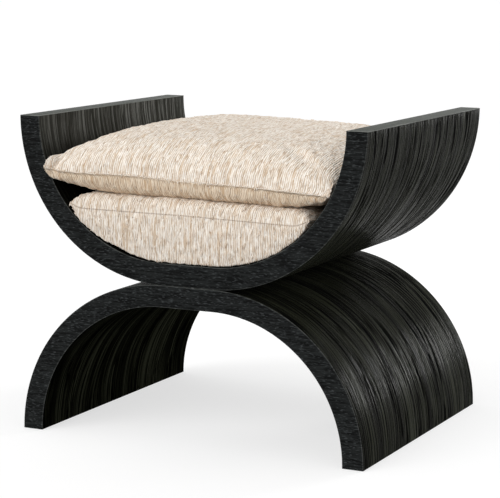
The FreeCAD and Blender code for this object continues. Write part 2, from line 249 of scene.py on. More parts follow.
def tint(red, green, blue):
    """A colour as it is seen, in steps from 0 to 255, turned into the numbers a shader takes."""
    shares = [step / 255 for step in (red, green, blue)]
    return tuple(s / 12.92 if s <= 0.04045 else ((s + 0.055) / 1.055) ** 2.4 for s in shares) + (1.0,)


class Finish:
    """A surface finish in the making: one shader, and short words for the patterns that feed it."""

    def __init__(self, name):
        self.material = bpy.data.materials.new(name)
        self.material.use_nodes = True
        self.tree = self.material.node_tree
        self.shader = self.tree.nodes["Principled BSDF"]

    def node(self, kind, **settings):
        made = self.tree.nodes.new(kind)
        for setting, value in settings.items():
            setattr(made, setting, value)
        return made

    def feed(self, socket, value):
        if isinstance(value, bpy.types.NodeSocket):
            self.tree.links.new(value, socket)
        else:
            socket.default_value = value

    def stored(self, name):
        """A place on the surface that the mesh itself carries."""
        return self.node("ShaderNodeAttribute", attribute_name=name).outputs["Vector"]

    def solid_place(self):
        """A place in the solid piece, in metres."""
        return self.node("ShaderNodeTexCoord").outputs["Object"]

    def parts(self, place):
        """The three directions of a place."""
        made = self.node("ShaderNodeSeparateXYZ")
        self.feed(made.inputs[0], place)
        return made.outputs

    def sums(self, operation, first, second=0.0, kind="ShaderNodeMath"):
        made = self.node(kind, operation=operation)
        self.feed(made.inputs[0], first)
        self.feed(made.inputs[1], second)
        return made.outputs[0]

    def moved(self, operation, place, by):
        return self.sums(operation, place, by, "ShaderNodeVectorMath")

    def swayed(self, place, axis, pattern, reach):
        """A place pushed to and fro along one axis by a pattern."""
        sway = self.node("ShaderNodeCombineXYZ")
        push = self.sums("SUBTRACT", pattern, 0.5)
        self.feed(sway.inputs[axis], self.sums("MULTIPLY", push, reach))
        return self.moved("ADD", place, sway.outputs[0])

    def grain(self, place, per_metre, detail=2.0, roughness=0.5, start=None):
        """Cloudy grain with so many marks per metre along each of the three directions."""
        if start:
            place = self.moved("ADD", place, start)
        made = self.node("ShaderNodeTexNoise")
        self.feed(made.inputs["Vector"], self.moved("MULTIPLY", place, per_metre))
        made.inputs["Scale"].default_value = 1.0
        made.inputs["Detail"].default_value = detail
        made.inputs["Roughness"].default_value = roughness
        return made.outputs[0]

    def between(self, value, low, high, to_low=0.0, to_high=1.0):
        """Stretches the part of a pattern between two levels over a new range, and cuts off the rest."""
        made = self.node("ShaderNodeMapRange", interpolation_type="SMOOTHSTEP")
        for number, level in enumerate((value, low, high, to_low, to_high)):
            self.feed(made.inputs[number], level)
        return made.outputs[0]

    def marks(self, place, per_metre, low, high, **kind):
        """Single marks in the grain, from none at the low level of its pattern to full at the high one."""
        return self.between(self.grain(place, per_metre, **kind), low, high)

    def blend(self, share, first, second, way="MIX"):
        made = self.node("ShaderNodeMix", data_type="RGBA", blend_type=way)
        self.feed(made.inputs[0], share)
        self.feed(made.inputs[6], first)
        self.feed(made.inputs[7], second)
        return made.outputs[2]

    def marked(self, colour, pattern, strength, mark):
        """A colour with marks of another one laid over it."""
        return self.blend(self.sums("MULTIPLY", pattern, strength), colour, mark)

    def relief(self, height, depth):
        """Raises and sinks the surface by a pattern, to a depth in metres."""
        made = self.node("ShaderNodeBump")
        made.inputs["Distance"].default_value = depth
        self.feed(made.inputs["Height"], height)
        self.feed(self.shader.inputs["Normal"], made.outputs["Normal"])

    def done(self, colour, roughness, gloss):
        self.feed(self.shader.inputs["Base Color"], colour)
        self.feed(self.shader.inputs["Roughness"], roughness)
        self.feed(self.shader.inputs["Specular IOR Level"], gloss)
        return self.material


def face_oak(name, pale, middle, dark, gloss, shaded_middle=None):
    """Black-stained oak: fine lines along the bend, groups of tapering dark streaks and a dull, dry sheen.

    Where the middle of a sheet's grain is given, painted shade darkens the sheet toward that middle, and
    only its two ends keep their paler colour.
    """
    finish = Finish(name)
    sheet = finish.stored("grain")
    place = finish.swayed(sheet, "Y", finish.grain(sheet, (2.4, 6, 0)), GRAIN_SWAY)
    bands = finish.marks(place, (1.8, 34, 0), 0.36, 0.64, detail=3)
    lines = finish.marks(place, (4, 300, 0), 0.44, 0.56, detail=3, roughness=0.6)
    groups = finish.marks(place, (3.2, 22, 0), 0.42, 0.54, start=(4.3, 2.9, 0))
    streaks = finish.marks(place, (11, 170, 0), 0.52, 0.57, detail=3)
    threads = finish.marks(place, (2.6, 230, 0), 0.60, 0.66, start=(8.1, 6.4, 0))
    streaks = finish.sums("MAXIMUM", finish.sums("MULTIPLY", streaks, groups), threads)
    pores = finish.marks(place, (70, 1250, 0), 0.60, 0.70, detail=1)
    colour = finish.blend(bands, middle, pale)
    for pattern, strength in ((lines, 0.88), (streaks, 0.94), (pores, 0.50)):
        colour = finish.marked(colour, pattern, strength, dark)
    # Painted shade: away from the sheet's two ends the colour is multiplied much darker, for the shade that
    # falls down inside the cradle.
    if shaded_middle is not None:
        from_middle = finish.sums("ABSOLUTE", finish.sums("SUBTRACT", finish.parts(sheet)["X"], shaded_middle))
        painted_shade = finish.between(from_middle, SHADE_FADES_FROM, SHADE_GONE_AT, 1.0, 0.0)
        painted_shade_tint = tint(84, 84, 76)
        colour = finish.blend(painted_shade, colour, finish.blend(1.0, colour, painted_shade_tint, "MULTIPLY"))
    shallow_lines = finish.sums("MULTIPLY", lines, LINE_DEPTH_SHARE)
    open_grain = finish.sums("MAXIMUM", finish.sums("MULTIPLY", lines, LINE_ROUGHNESS_SHARE), streaks)
    depth = finish.sums("ADD", shallow_lines, finish.sums("ADD", streaks, pores))
    finish.relief(finish.sums("SUBTRACT", 0.0, depth), GRAIN_DEPTH)
    return finish.done(colour, finish.between(open_grain, 0.0, 1.0, 0.25, 1.0), gloss)


def fitted(piece, material, body, slot, *nodes):
    """Gives a piece its finish and the body it rides on, and sets it in the place of any plain nodes."""
    piece.data.materials.append(material)
    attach(piece, body)
    if nodes:
        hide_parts(*nodes)


def fit_face(shell, side, section, oak, grain_start, pockets=()):
    """Lays a sheet of face veneer round a shell."""
    sheet = bent_strip(f"{shell}_{side}_face", section, shell == "cradle", grain_start, pockets)
    fitted(sheet, oak, "frame", "black_oak_veneer", f"{shell}_{side}_veneer")


black_stain = tint(50, 52, 41), tint(23, 24, 17), tint(1, 1, 1)
black_oak_face = face_oak("black_oak_face", *black_stain, gloss=0.008)
shaded_oak = face_oak("black_oak_inside", *black_stain, gloss=0.0)
outer_section = face_section(0.0, FACE_VENEER)
inner_section = face_section(SHELL_THICKNESS, SHELL_THICKNESS - FACE_VENEER)
fit_face("base", "outer", outer_section, black_oak_face, grain_start=1.7)
fit_face("base", "inner", inner_section, shaded_oak, grain_start=5.2)


# The edge veneers of the base, front and rear: thicker oak over the laminated edge, stained a cooler black.
# Their grain lies level across the whole stool, brushed so that it shows as fine broken dashes.
# The outer corners are eased by hand, and a thin line of highlight is painted on them in a paler colour.
EDGE_ROUNDING = 0.0011
ROUNDING_STEPS = 4
EDGE_GRAIN_SWAY = 0.002
EDGE_GRAIN_DEPTH = 0.0004
LEAST_LEAN = 0.1
MOST_LEAN = 0.99


def edge_section(front):
    """The edge strip's section, with its two outer corners rounded."""
    section = []
    for centre_depth, first_turn in ((SHELL_THICKNESS - EDGE_ROUNDING, 0.0), (EDGE_ROUNDING, math.pi / 2)):
        for step in range(ROUNDING_STEPS + 1):
            turn = first_turn + math.pi / 2 * step / ROUNDING_STEPS
            depth = centre_depth + EDGE_ROUNDING * math.cos(turn)
            section.append((depth, FRONT + EDGE_ROUNDING - EDGE_ROUNDING * math.sin(turn)))
    section += [
        (0.0, FACE_FRONT - JOINT_BEVEL),
        (JOINT_BEVEL, FACE_FRONT),
        (SHELL_THICKNESS - JOINT_BEVEL, FACE_FRONT),
        (SHELL_THICKNESS, FACE_FRONT - JOINT_BEVEL),
    ]
    return section[::-1] if front else [(depth, -y) for depth, y in section]


def edge_oak(name, groove, ridge, tick):
    """Brushed oak edges: short level dashes, blue-black with greyer ridges."""
    finish = Finish(name)
    place = finish.solid_place()
    place = finish.swayed(place, "Z", finish.grain(place, (16, 0, 30)), EDGE_GRAIN_SWAY)
    dashes = finish.marks(place, (32, 3, 320), 0.38, 0.62, detail=3, roughness=0.6)
    ticks = finish.marks(place, (130, 3, 700), 0.58, 0.68, detail=1)
    colour = finish.marked(finish.blend(dashes, groove, ridge), ticks, 0.7, tick)
    finish.relief(finish.sums("ADD", dashes, ticks), EDGE_GRAIN_DEPTH)
    return finish.done(colour, roughness=0.5, gloss=0.04)


def paint_highlight(piece, oak, axis):
    """Paints a highlight on the eased corners, which face neither along an axis nor across it, as a paler
    finish.
    """
    piece.data.materials.append(oak)
    leaning = [LEAST_LEAN < abs(face.normal[axis]) < MOST_LEAN for face in piece.data.polygons]
    piece.data.polygons.foreach_set("material_index", [int(eased) for eased in leaning])


def fit_edges(shell):
    """Lays the front and rear edge strips on a shell."""
    for side in ("front", "rear"):
        name = f"{shell}_{side}_edge"
        strip = bent_strip(name, edge_section(side == "front"), shell == "cradle", grain_start=0.0)
        fitted(strip, black_oak_edge, "frame", "black_oak_veneer", f"{name}_veneer")
        paint_highlight(strip, highlight_oak, axis=1)


black_oak_edge = edge_oak("black_oak_edge", tint(10, 11, 11), tint(32, 34, 34), tint(68, 71, 72))
# Painted highlight: a paler copy of the edge finish, laid on the eased corners.
highlight_oak = edge_oak("black_oak_painted_highlight", tint(44, 46, 45), tint(72, 74, 72), tint(98, 100, 98))
fit_edges("base")


# The cradle: the same bent shell turned over, so that it opens upward and its ends become the arms.
# It has its own sheets of veneer, so its figure differs from the base's.
# Its inner face is written paler than its outer face, and painted shade darkens it from the arm tops down to
# its floor.
# The pockets for the joint screws stay open in its floor.
POCKETS = ((-0.13425, -0.11025), (0.11025, 0.13425))
CRADLE_INNER_SHEET = 13.6


def with_pockets(section):
    """The section with more corners, where the pockets begin and end."""
    edges = sorted(edge for pocket in POCKETS for edge in pocket)
    broken = []
    for here, ahead in zip(section, section[1:] + section[:1]):
        broken.append(here)
        rising = ahead[1] > here[1]
        for edge in edges if rising else reversed(edges):
            if min(here[1], ahead[1]) < edge < max(here[1], ahead[1]):
                broken.append((here[0], edge))
    return broken


# The cradle's inner oak: paler colours, darkened by painted shade from below the arm tops down to its floor.
cradle_inner_stain = tint(90, 91, 86), tint(75, 75, 70), tint(48, 48, 44)
cradle_inner_oak = face_oak("black_oak_arms", *cradle_inner_stain, gloss=0.006, shaded_middle=CRADLE_INNER_SHEET)
fit_face("cradle", "outer", outer_section, black_oak_face, grain_start=9.1)
fit_face("cradle", "inner", with_pockets(inner_section), cradle_inner_oak, CRADLE_INNER_SHEET, POCKETS)
fit_edges("cradle")


# The arm tops: a strip of oak veneer laid over the end of each arm, grain from front to back.
# It laps over the face and edge veneers, and its corners are eased like theirs and carry the same painted
# highlight.
CAP_ROUNDING = 0.0010
CAP_GRAIN_DEPTH = 0.00012
ARM_OUTER = cap_high.x
ARM_INNER = ARM_OUTER - SHELL_THICKNESS


def ring_faces(rings, around, start=0):
    """The faces that join rings of corners, each ring to the next one, all the way round."""
    faces = []
    for ring in range(rings - 1):
        for side in range(around):
            corner = start + ring * around + side
            beside = start + ring * around + (side + 1) % around
            faces.append((corner, beside, beside + around, corner + around))
    return faces


def arm_top(name, side):
    """One strip: its outline drawn in by the rounding, step by step from the joint up to the top."""
    rings = [(0.0, cap_low.z)]
    for step in range(ROUNDING_STEPS + 1):
        turn = math.pi / 2 * step / ROUNDING_STEPS
        draw_in = CAP_ROUNDING * (1 - math.cos(turn))
        rings.append((draw_in, STOOL_HEIGHT - CAP_ROUNDING * (1 - math.sin(turn))))
    points = []
    for draw_in, z in rings:
        x_low, x_high = sorted((side * (ARM_INNER + draw_in), side * (ARM_OUTER - draw_in)))
        y_low = FRONT + draw_in
        points += [(x_low, y_low, z), (x_high, y_low, z), (x_high, -y_low, z), (x_low, -y_low, z)]
    faces = [(3, 2, 1, 0), tuple(range(len(points) - 4, len(points)))]
    faces += ring_faces(len(rings), around=4)
    grain = [(point[1] + side, point[0], 0.0) for point in points]
    return veneer_piece(name, points, faces, grain)


def cap_oak():
    """The arm tops' finish: greyer than the faces because they lie flat under the light."""
    finish = Finish("black_oak_top")
    place = finish.stored("grain")
    lines = finish.marks(place, (12, 600, 0), 0.40, 0.62, detail=3, roughness=0.6)
    pores = finish.marks(place, (80, 1300, 0), 0.60, 0.70, detail=1)
    colour = finish.blend(lines, tint(76, 80, 74), tint(50, 53, 48))
    colour = finish.marked(colour, pores, 0.6, tint(20, 20, 18))
    finish.relief(finish.sums("SUBTRACT", 0.0, finish.sums("ADD", lines, pores)), CAP_GRAIN_DEPTH)
    return finish.done(colour, roughness=0.5, gloss=0.05)


black_oak_top = cap_oak()
# Painted highlight on the arm tops' eased rims: a much paler copy of the edge finish.
rim_highlight_oak = edge_oak("black_oak_rim_highlight", tint(92, 94, 90), tint(126, 128, 124), tint(150, 152, 148))
for name, side in (("arm_top_left", -1), ("arm_top_right", 1)):
    cap = arm_top(name, side)
    fitted(cap, black_oak_top, "frame", "black_oak_veneer", "arm_top_veneers")
    paint_highlight(cap, rim_highlight_oak, axis=2)


# Inside the shells: bent plywood skins, ribs, end rails and joint blocks, glued up as a torsion box.
# They show only in the screw pockets and under the feet, where the stain has run over the sawn wood.
def sawn_wood(name, pale, dark, lines_per_metre):
    """Sawn wood with fine level lines and a dull, thirsty surface."""
    finish = Finish(name)
    place = finish.solid_place()
    lines = finish.marks(place, lines_per_metre, 0.38, 0.64, detail=3, roughness=0.6)
    blotches = finish.marks(place, (18, 18, 18), 0.35, 0.70, detail=3)
    colour = finish.marked(finish.blend(lines, pale, dark), blotches, 0.35, dark)
    finish.relief(lines, depth=0.0002)
    return finish.done(colour, roughness=0.8, gloss=0.2)


def refinished(node, material):
    """Keeps a piece's own shape and gives it its finish."""
    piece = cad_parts[node]
    piece.data.materials.clear()
    piece.data.materials.append(material)
    return piece


plywood = sawn_wood("stained_plywood", tint(74, 62, 50), tint(38, 32, 26), (40, 8, 700))
core_wood = sawn_wood("stained_core_wood", tint(58, 48, 39), tint(30, 25, 20), (300, 6, 300))
for shell in ("base", "cradle"):
    for skin in ("outer", "inner"):
        refinished(f"{shell}_{skin}_skin", plywood)
    for rib in ("front", "middle", "rear"):
        refinished(f"{shell}_{rib}_rib", core_wood)
    refinished(f"{shell}_joint_blocks", core_wood)
for rails in ("foot_rails", "arm_rails"):
    refinished(rails, core_wood)


# The joint screws: four long zinc-plated screws that pull the cradle down on the base.
# Their heads sit in the pockets under the lower cushion.
SCUFF_ROUGHNESS = 0.2


def plated_steel(name, pale, dark, roughness):
    """Plated steel with faint clouds in the plating and fine scuffs."""
    finish = Finish(name)
    place = finish.solid_place()
    clouds = finish.grain(place, (220, 220, 220), detail=3)
    scuffs = finish.marks(place, (900, 200, 900), 0.45, 0.65)
    finish.shader.inputs["Metallic"].default_value = 1.0
    finish.relief(scuffs, depth=0.00003)
    scuffed = finish.between(scuffs, 0, 1, roughness, roughness + SCUFF_ROUGHNESS)
    return finish.done(finish.blend(clouds, dark, pale), scuffed, gloss=0.5)


def broken_edges(piece, width):
    """Takes the sharpness off a piece's corners."""
    bevel = piece.modifiers.new("broken_edges", "BEVEL")
    bevel.width = width
    bevel.segments = 2
    bevel.limit_method = "ANGLE"


zinc = plated_steel("zinc_plate", tint(196, 197, 194), tint(150, 151, 148), roughness=0.32)
broken_edges(refinished("joint_screws", zinc), width=0.0003)


# The felt strips: grey wool felt let into grooves under both feet, a millimetre proud of the wood.
# They are glued in, and keep the wood off the floor.
def wool_felt():
    """Pressed wool: pale and dark hairs lying every way."""
    finish = Finish("grey_wool_felt")
    hairs = finish.grain(finish.solid_place(), (700, 700, 700), detail=4, roughness=0.75)
    colour = finish.blend(finish.between(hairs, 0.35, 0.65), tint(74, 73, 71), tint(128, 126, 122))
    finish.relief(hairs, depth=0.0006)
    return finish.done(colour, roughness=1.0, gloss=0.05)


refinished("foot_felts", wool_felt())


# The lower cushion: a foam pad cut round underneath to lie in the cradle, in a cover of cream slub cloth.
# The top panel rolls over the front to a stitched seam, and the front panel hangs straight from it.
# The cloth is cut so that its ribs run from front to back on top and upright on the front.
CLOTH_GAP = 0.0014
LOWER_TOP = 0.4055
RIGHT_SLOPE = 0.004
LEFT_TIP = -0.217
LEFT_SHOULDER = -0.184
LEFT_SHOULDER_DROP = 0.019
RIGHT_TIP = 0.212
RIGHT_SHOULDER = 0.180
RIGHT_SHOULDER_DROP = 0.016
TIP_ROUNDING = 0.012
PANEL_FRONT = -0.2550
PANEL_REAR = 0.2465
PANEL_BULGE = 0.003
FULL_BULGE_HEIGHT = 0.08
FRONT_ROLL = 0.024
REAR_ROLL = 0.016
MOST_ROLL_SHARE = 0.5
LOW_ROUNDING = 0.004
MOST_LOW_SHARE = 0.25
LIFTED_PLACE = -0.125
LIFTED_WIDTH = 0.030
LIFTED_HEIGHT = 0.0035
CLOTH_STEP = 0.009
ROLL_STEPS = 5
FACE_STEPS = 8
CURVE_STEPS = 2000


def cradle_floor(x):
    """The height of the cradle's inner face."""
    out = np.maximum(np.abs(x) - BEND_CENTRE, 0)
    return STOOL_HEIGHT - np.sqrt((BEND_RADIUS - SHELL_THICKNESS) ** 2 - out ** 2)


def quarter_round(share):
    """How far a quarter circle has fallen, in shares of its radius, at a share of its run."""
    return 1 - np.sqrt(1 - np.clip(share, 0, 1) ** 2)


def lower_top(x):
    left = quarter_round((LEFT_SHOULDER - x) / (LEFT_SHOULDER - LEFT_TIP)) * LEFT_SHOULDER_DROP
    right = quarter_round((x - RIGHT_SHOULDER) / (RIGHT_TIP - RIGHT_SHOULDER)) * RIGHT_SHOULDER_DROP
    return LOWER_TOP - left - right - RIGHT_SLOPE * np.clip(x / RIGHT_SHOULDER, 0, 1)


def tip_share(x):
    """How far the cushion has closed: nought along its length, and one at either tip."""
    left = quarter_round((LEFT_TIP + TIP_ROUNDING - x) / TIP_ROUNDING)
    right = quarter_round((x - RIGHT_TIP + TIP_ROUNDING) / TIP_ROUNDING)
    return np.maximum(left, right)


def lower_bottom(x):
    bed = cradle_floor(x) + CLOTH_GAP
    bed += LIFTED_HEIGHT * np.exp(-((x - LIFTED_PLACE) / LIFTED_WIDTH) ** 2)
    return bed + tip_share(x) * (lower_top(x) - bed)


def along_curve(points):
    """The length of a line of points up to each of them."""
    return np.concatenate([[0], np.cumsum(np.linalg.norm(np.diff(points, axis=0), axis=1))])


def lower_columns():
    """Places from tip to tip, evenly spaced over the top of the cushion."""
    x = np.linspace(LEFT_TIP, RIGHT_TIP, CURVE_STEPS)
    length = along_curve(np.column_stack([x, lower_top(x)]))
    count = round(length[-1] / CLOTH_STEP)
    across = np.linspace(0, length[-1], count + 1)
    return np.interp(across, length, x), across


def lower_loop(x):
    """One column of cloth: forward under the pad, up the front, over the top and down the back."""
    low = float(lower_bottom(x))
    high = float(lower_top(x))
    tall = high - low
    tip = float(tip_share(x))
    front = PANEL_FRONT + TIP_ROUNDING / 2 * tip
    rear = PANEL_REAR - TIP_ROUNDING / 2 * tip
    front_roll = min(FRONT_ROLL, MOST_ROLL_SHARE * tall)
    rear_roll = min(REAR_ROLL, MOST_ROLL_SHARE * tall)
    foot = min(LOW_ROUNDING, MOST_LOW_SHARE * tall)
    swell = PANEL_BULGE * min(1.0, tall / FULL_BULGE_HEIGHT)
    quarter = np.linspace(0, math.pi / 2, ROLL_STEPS + 1)
    under_steps = round(PANEL_REAR / CLOTH_STEP)
    loop = [(y, low) for y in np.linspace(0, front + foot, under_steps)]
    loop += [(front + foot - foot * math.sin(t), low + foot - foot * math.cos(t)) for t in quarter[2::2]]
    face = np.linspace(low + foot, high - front_roll, FACE_STEPS + 1)[1:]
    loop += [(front - swell * math.sin(math.pi * n / FACE_STEPS), z) for n, z in enumerate(face, 1)]
    seam = len(loop) - 1
    loop += [(front + front_roll * (1 - math.cos(t)), high - front_roll * (1 - math.sin(t)))
             for t in quarter[1:]]
    loop += [(y, high) for y in np.linspace(front + front_roll, rear - rear_roll, 2 * under_steps)[1:-1]]
    loop += [(rear - rear_roll * (1 - math.sin(t)), high - rear_roll * (1 - math.cos(t))) for t in quarter]
    loop += [(rear, z) for z in np.linspace(high - rear_roll, low + foot, FACE_STEPS + 1)[1:]]
    loop += [(rear - foot * (1 - math.cos(t)), low + foot - foot * math.sin(t)) for t in quarter[2::2]]
    loop += [(y, low) for y in np.linspace(rear - foot, 0, under_steps)[1:-1]]
    return np.array(loop), seam


def soft_piece(name, points, faces, weave):
    """A cushion cover whose mesh carries its weave: across the ribs, along them, and off the stitching."""
    piece = new_piece(name, points, faces)
    mesh = piece.data
    mesh.attributes.new("weave", "FLOAT_VECTOR", "POINT").data.foreach_set("vector", np.ravel(weave))
    mesh.validate()
    return piece


def lower_cover():
    """The cover, with the corners that its seams hold and the line of its front seam."""
    columns, across = lower_columns()
    loops = [lower_loop(x) for x in columns]
    seam = loops[0][1]
    around = len(loops[0][0])
    points = []
    weave = []
    for x, place, (loop, _) in zip(columns, across, loops):
        along = along_curve(loop)
        along -= along[seam]
        points += [(x, y, z) for y, z in loop]
        weave += [(place, run, run) for run in along]
    piece = soft_piece("lower_cushion", points, ring_faces(len(columns), around), weave)
    held = [column * around + seam for column in range(len(columns))]
    held += list(range(around)) + list(range(len(points) - around, len(points)))
    return piece, held, np.array(points)[held[:len(columns)]]


def at_corners(mesh, what):
    """The place ("co") or the outward direction ("normal") of each corner of a mesh."""
    values = np.empty(len(mesh.vertices) * 3)
    mesh.vertices.foreach_get(what, values)
    return values.reshape(-1, 3)


def move_corners(mesh, places):
    mesh.vertices.foreach_set("co", np.ravel(places))
    mesh.update()


def settled_mesh(piece):
    """The piece's mesh as its modifiers leave it."""
    seen = piece.evaluated_get(bpy.context.evaluated_depsgraph_get())
    return bpy.data.meshes.new_from_object(seen)


PLUMP_FRAMES = 20
SMALLEST_MOVE = 1e-9


def plump(piece, held, pressure, most):
    """Swells a cover like a filled cushion, with its seams held and no point going further than most."""
    seams = piece.vertex_groups.new(name="seams")
    seams.add([int(corner) for corner in held], 1.0, "REPLACE")
    cloth = piece.modifiers.new("filling", "CLOTH")
    settings = cloth.settings
    settings.quality = 6
    settings.mass = 0.3
    settings.tension_stiffness = 18
    settings.compression_stiffness = 18
    settings.shear_stiffness = 8
    settings.bending_stiffness = 1.5
    settings.use_pressure = True
    settings.uniform_pressure_force = pressure
    settings.effector_weights.gravity = 0
    settings.vertex_group_mass = "seams"
    cloth.point_cache.frame_start = 1
    cloth.point_cache.frame_end = PLUMP_FRAMES
    before = at_corners(piece.data, "co")
    for step in range(1, PLUMP_FRAMES + 1):
        scene.frame_set(step)
    swollen = settled_mesh(piece)
    move = at_corners(swollen, "co") - before
    bpy.data.meshes.remove(swollen)
    piece.modifiers.remove(cloth)
    scene.frame_set(1)
    far = np.linalg.norm(move, axis=1, keepdims=True)
    move *= most * np.tanh(far / most) / np.maximum(far, SMALLEST_MOVE)
    piece.vertex_groups.clear()
    move_corners(piece.data, before + move)


RIB_PITCH = 0.0031
RIB_WANDER = 7.0
RIB_STRENGTH = 0.15
SLUB_WIDTH = 0.0046
SLUB_LENGTH = 0.009
SLUB_HEIGHT = 0.0011
LUMP_SIZE = 0.022
LUMP_HEIGHT = 0.0007
SEAM_DEPTH = 0.0005
SEAM_WIDTH = 0.0018
SEAM_SHADE = 0.45
WEAVE_DEPTH = 0.0020
CHANCE_TABLE = 256


def speckle(across, along, seed):
    """Smooth chance numbers from -1 to 1 that change about once per unit in both directions."""
    table = np.random.default_rng(seed).uniform(-1, 1, (CHANCE_TABLE, CHANCE_TABLE))
    row = np.floor(across).astype(int)
    column = np.floor(along).astype(int)
    near_row = across - row
    near_column = along - column
    near_row = near_row * near_row * (3 - 2 * near_row)
    near_column = near_column * near_column * (3 - 2 * near_column)
    ends = []
    for beside in (column % CHANCE_TABLE, (column + 1) % CHANCE_TABLE):
        here = table[row % CHANCE_TABLE, beside]
        ahead = table[(row + 1) % CHANCE_TABLE, beside]
        ends.append(here * (1 - near_row) + ahead * near_row)
    return ends[0] * (1 - near_column) + ends[1] * near_column


def woven(piece, seed):
    """Divides the cover finely, raises its slubs and lumps, and draws the cloth in along the stitching."""
    divide = piece.modifiers.new("finer", "SUBSURF")
    divide.levels = 2
    divide.render_levels = 2
    fine = settled_mesh(piece)
    piece.modifiers.remove(divide)
    piece.data = fine
    weave = np.empty(len(fine.vertices) * 3)
    fine.attributes["weave"].data.foreach_get("vector", weave)
    across, along, off_seam = weave.reshape(-1, 3).T
    slubs = speckle(across / SLUB_WIDTH, along / SLUB_LENGTH, seed) * SLUB_HEIGHT
    lumps = speckle(across / LUMP_SIZE, along / LUMP_SIZE, seed + 1) * LUMP_HEIGHT
    drawn_in = SEAM_DEPTH * np.exp(-(off_seam / SEAM_WIDTH) ** 2)
    raised = at_corners(fine, "normal") * (slubs + lumps - drawn_in)[:, None]
    move_corners(fine, at_corners(fine, "co") + raised)


def slub_cloth(name, shade):
    """Cream cloth of thick and thin yarns: pale ribs, tan and brown flecks in dashes, narrow tan columns."""
    finish = Finish(name)
    place = finish.stored("weave")
    across, _, off_seam = finish.parts(place)
    wander = finish.sums("MULTIPLY", finish.grain(place, (40, 8, 0)), RIB_WANDER)
    turn = finish.sums("ADD", finish.sums("MULTIPLY", across, 2 * math.pi / RIB_PITCH), wander)
    yarn = finish.grain(place, (330, 52, 0), detail=3, roughness=0.62)
    ribs = finish.sums("ADD", finish.sums("MULTIPLY", finish.sums("SINE", turn), RIB_STRENGTH), yarn)
    dashes = finish.grain(place, (420, 90, 0), start=(3.1, 1.7, 0))
    tan = finish.marks(place, (340, 62, 0), 0.54, 0.68, start=(7.7, 4.1, 0))
    brown = finish.marks(place, (380, 60, 0), 0.60, 0.69, start=(1.3, 9.2, 0))
    columns = finish.marks(place, (185, 15, 0), 0.54, 0.66)
    colour = finish.blend(finish.between(ribs, 0.34, 0.62), tint(212, 192, 170), tint(253, 247, 239))
    for pattern, strength, mark in (
            (columns, 0.60, tint(204, 174, 140)),
            (tan, 0.45, tint(196, 168, 138)),
            (brown, 0.66, tint(156, 120, 84)),
            (finish.between(dashes, 0.56, 0.70), 0.70, tint(250, 246, 240))):
        colour = finish.marked(colour, pattern, strength, mark)
    # Painted shade: the cloth is darkened toward tan along the stitched seam, where the seam's groove lies
    # in shadow.
    painted_seam_shade = finish.between(finish.sums("ABSOLUTE", off_seam), 0.0, SEAM_WIDTH, SEAM_SHADE, 0.0)
    colour = finish.blend(painted_seam_shade, colour, tint(140, 114, 90))
    colour = finish.blend(1.0, colour, shade, "MULTIPLY")
    finish.relief(finish.sums("ADD", ribs, dashes), WEAVE_DEPTH)
    finish.shader.inputs["Sheen Weight"].default_value = 0.15
    finish.shader.inputs["Sheen Roughness"].default_value = 0.6
    return finish.done(colour, roughness=0.95, gloss=0.08)


cream_cloth = slub_cloth("cream_slub_cloth", tint(255, 254, 252))
lower_cushion, lower_held, lower_seam = lower_cover()
plump(lower_cushion, lower_held, pressure=4.0, most=0.004)
resting = at_corners(lower_cushion.data, "co")
resting[:, 2] = np.maximum(resting[:, 2], cradle_floor(resting[:, 0]) + CLOTH_GAP)
move_corners(lower_cushion.data, resting)
woven(lower_cushion, seed=11)
lower_parts = ("foam", "top_panel", "front_panel", "rear_panel", "underside_panel")
lower_nodes = [f"lower_cushion_{part}" for part in lower_parts]
fitted(lower_cushion, cream_cloth, "lower_cushion", "cream_cloth", *lower_nodes)


# The lower cushion's stitching and slubs: a row of tan thread stitches along the front seam, and short thick
# places in the spun yarn that stand out of the cloth and lie along its ribs.
STITCH_LENGTH = 0.0031
STITCH_PITCH = 0.0040
STITCH_RADIUS = 0.00055
STITCH_LIFT = 0.8
SHORTEST_STEP = 1e-6
SLUB_SHORTEST = 0.003
SLUB_LONGEST = 0.010
SLUB_THINNEST = 0.0005
SLUB_THICKEST = 0.0011
SLUB_SINK = 0.35
SLUB_TWIST = 0.15
LEAST_SLOPE = 0.2
ROD_RINGS = ((-0.5, 0.45), (-0.25, 1.0), (0.25, 1.0), (0.5, 0.45))
ROD_SIDES = 5


def beads(name, places, directions, lengths, radii):
    """Many small rounded rods in one mesh, each lying along its own direction."""
    points = []
    faces = []
    for place, direction, length, radius in zip(places, directions, lengths, radii):
        direction = Vector(direction).normalized()
        beside = direction.orthogonal().normalized()
        over = direction.cross(beside)
        start = len(points)
        for run, width in ROD_RINGS:
            for side in range(ROD_SIDES):
                turn = 2 * math.pi * side / ROD_SIDES
                rim = beside * math.cos(turn) + over * math.sin(turn)
                points.append(Vector(place) + direction * (length * run) + rim * (radius * width))
        faces += ring_faces(len(ROD_RINGS), ROD_SIDES, start)
        faces.append(tuple(reversed(range(start, start + ROD_SIDES))))
        faces.append(tuple(range(len(points) - ROD_SIDES, len(points))))
    return new_piece(name, points, faces)


def yarn_finish(name, pale, dark):
    """Twisted yarn: paler and darker by turns along each thread."""
    finish = Finish(name)
    place = finish.solid_place()
    twist = finish.marks(place, (260, 260, 260), 0.36, 0.64, detail=3, roughness=0.7)
    finish.relief(finish.grain(place, (2400, 2400, 2400)), depth=0.0003)
    return finish.done(finish.blend(twist, dark, pale), roughness=0.95, gloss=0.05)


